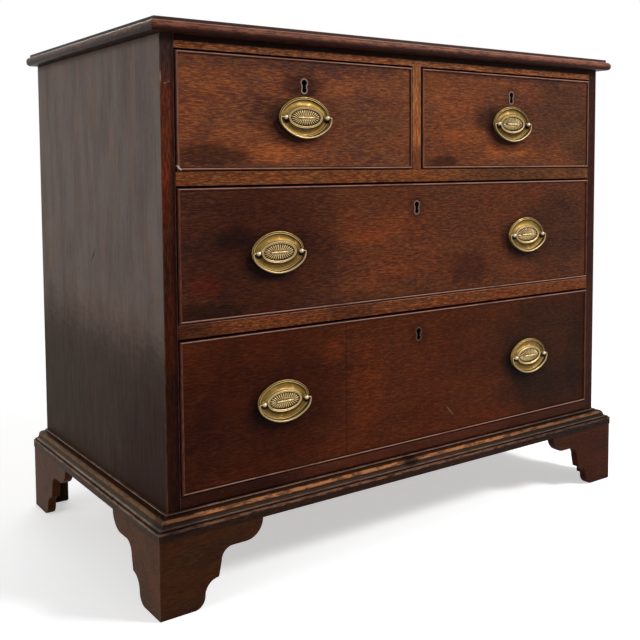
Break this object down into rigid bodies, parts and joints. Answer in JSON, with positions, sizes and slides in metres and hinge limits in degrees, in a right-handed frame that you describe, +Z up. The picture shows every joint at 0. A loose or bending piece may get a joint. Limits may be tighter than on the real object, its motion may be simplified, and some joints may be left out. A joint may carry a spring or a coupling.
{
  "type": "bachelors chest",
  "caption": "Bachelors chest with short drawers over long ones, cockbeaded fronts, oval bail handles, moulded top and base, and shaped bracket feet.",
  "frame": {"origin": "floor level, at the middle of the overall width and depth", "axes": "+Z up, the drawers face -Y, +X is to the right when looking at the drawer fronts"},
  "size_m": [0.928, 0.52, 0.7915],
  "materials": {
    "mahogany": "old french polish, worn on the edges",
    "mahogany_bead": "old polish, rubbed light on the bead",
    "oak": "bare, dry and aged",
    "pine": "bare, dusty and aged",
    "brass": "stamped, toned and rubbed",
    "lock_steel": "dull old iron"
  },
  "bodies": {
    "carcase": {"top": "mahogany", "side_left": "mahogany", "side_right": "mahogany", "top_rail": "mahogany", "upper_rail": "mahogany", "lower_rail": "mahogany", "bottom_rail": "mahogany", "muntin": "mahogany", "bottom_board": "pine", "dust_boards": "pine", "drawer_runners": "pine", "back_boards": "pine", "base_moulding": "mahogany", "foot_front_left": "mahogany", "foot_front_right": "mahogany", "foot_back_left": "mahogany", "foot_back_right": "mahogany", "foot_blocks": "pine"},
    "drawer_top_left": {"drawer_top_left_front": "mahogany", "drawer_top_left_sides": "oak", "drawer_top_left_back": "oak", "drawer_top_left_bottom": "oak", "drawer_top_left_cockbead": "mahogany_bead", "drawer_top_left_lock": "lock_steel", "drawer_top_left_escutcheon": "brass", "drawer_top_left_handles": "brass"},
    "drawer_top_left_lock_bolt": {"drawer_top_left_lock_bolt": "lock_steel"},
    "bail_top_left": {"bail_top_left": "brass"},
    "drawer_top_right": {"drawer_top_right_front": "mahogany", "drawer_top_right_sides": "oak", "drawer_top_right_back": "oak", "drawer_top_right_bottom": "oak", "drawer_top_right_cockbead": "mahogany_bead", "drawer_top_right_lock": "lock_steel", "drawer_top_right_escutcheon": "brass", "drawer_top_right_handles": "brass"},
    "drawer_top_right_lock_bolt": {"drawer_top_right_lock_bolt": "lock_steel"},
    "bail_top_right": {"bail_top_right": "brass"},
    "drawer_middle": {"drawer_middle_front": "mahogany", "drawer_middle_sides": "oak", "drawer_middle_back": "oak", "drawer_middle_bottom": "oak", "drawer_middle_cockbead": "mahogany_bead", "drawer_middle_lock": "lock_steel", "drawer_middle_escutcheon": "brass", "drawer_middle_handles": "brass"},
    "drawer_middle_lock_bolt": {"drawer_middle_lock_bolt": "lock_steel"},
    "bail_middle_left": {"bail_middle_left": "brass"},
    "bail_middle_right": {"bail_middle_right": "brass"},
    "drawer_bottom": {"drawer_bottom_front": "mahogany", "drawer_bottom_sides": "oak", "drawer_bottom_back": "oak", "drawer_bottom_bottom": "oak", "drawer_bottom_cockbead": "mahogany_bead", "drawer_bottom_lock": "lock_steel", "drawer_bottom_escutcheon": "brass", "drawer_bottom_handles": "brass"},
    "drawer_bottom_lock_bolt": {"drawer_bottom_lock_bolt": "lock_steel"},
    "bail_bottom_left": {"bail_bottom_left": "brass"},
    "bail_bottom_right": {"bail_bottom_right": "brass"}
  },
  "joints": [
    {"name": "drawer_top_left_slide", "type": "slide", "parent": "carcase", "child": "drawer_top_left", "axis": [0, -1, 0], "range_m": [0, 0.34]},
    {"name": "drawer_top_left_bolt_throw", "type": "slide", "parent": "drawer_top_left", "child": "drawer_top_left_lock_bolt", "axis": [0, 0, 1], "range_m": [0, 0.008]},
    {"name": "bail_top_left_swing", "type": "hinge", "parent": "drawer_top_left", "child": "bail_top_left", "pos_m": [-0.21425, -0.2424, 0.66825], "axis": [-1, 0, 0], "range_deg": [-3.5, 183.5]},
    {"name": "drawer_top_right_slide", "type": "slide", "parent": "carcase", "child": "drawer_top_right", "axis": [0, -1, 0], "range_m": [0, 0.34]},
    {"name": "drawer_top_right_bolt_throw", "type": "slide", "parent": "drawer_top_right", "child": "drawer_top_right_lock_bolt", "axis": [0, 0, 1], "range_m": [0, 0.008]},
    {"name": "bail_top_right_swing", "type": "hinge", "parent": "drawer_top_right", "child": "bail_top_right", "pos_m": [0.21425, -0.2424, 0.66825], "axis": [-1, 0, 0], "range_deg": [-3.5, 183.5]},
    {"name": "drawer_middle_slide", "type": "slide", "parent": "carcase", "child": "drawer_middle", "axis": [0, -1, 0], "range_m": [0, 0.34]},
    {"name": "drawer_middle_bolt_throw", "type": "slide", "parent": "drawer_middle", "child": "drawer_middle_lock_bolt", "axis": [0, 0, 1], "range_m": [0, 0.008]},
    {"name": "bail_middle_left_swing", "type": "hinge", "parent": "drawer_middle", "child": "bail_middle_left", "pos_m": [-0.2615, -0.2424, 0.476], "axis": [-1, 0, 0], "range_deg": [-3.5, 183.5]},
    {"name": "bail_middle_right_swing", "type": "hinge", "parent": "drawer_middle", "child": "bail_middle_right", "pos_m": [0.2535, -0.2424, 0.476], "axis": [-1, 0, 0], "range_deg": [-3.5, 183.5]},
    {"name": "drawer_bottom_slide", "type": "slide", "parent": "carcase", "child": "drawer_bottom", "axis": [0, -1, 0], "range_m": [0, 0.34]},
    {"name": "drawer_bottom_bolt_throw", "type": "slide", "parent": "drawer_bottom", "child": "drawer_bottom_lock_bolt", "axis": [0, 0, 1], "range_m": [0, 0.008]},
    {"name": "bail_bottom_left_swing", "type": "hinge", "parent": "drawer_bottom", "child": "bail_bottom_left", "pos_m": [-0.2545, -0.2424, 0.2595], "axis": [-1, 0, 0], "range_deg": [-3.5, 183.5]},
    {"name": "bail_bottom_right_swing", "type": "hinge", "parent": "drawer_bottom", "child": "bail_bottom_right", "pos_m": [0.2605, -0.2424, 0.2595], "axis": [-1, 0, 0], "range_deg": [-3.5, 183.5]}
  ]
}
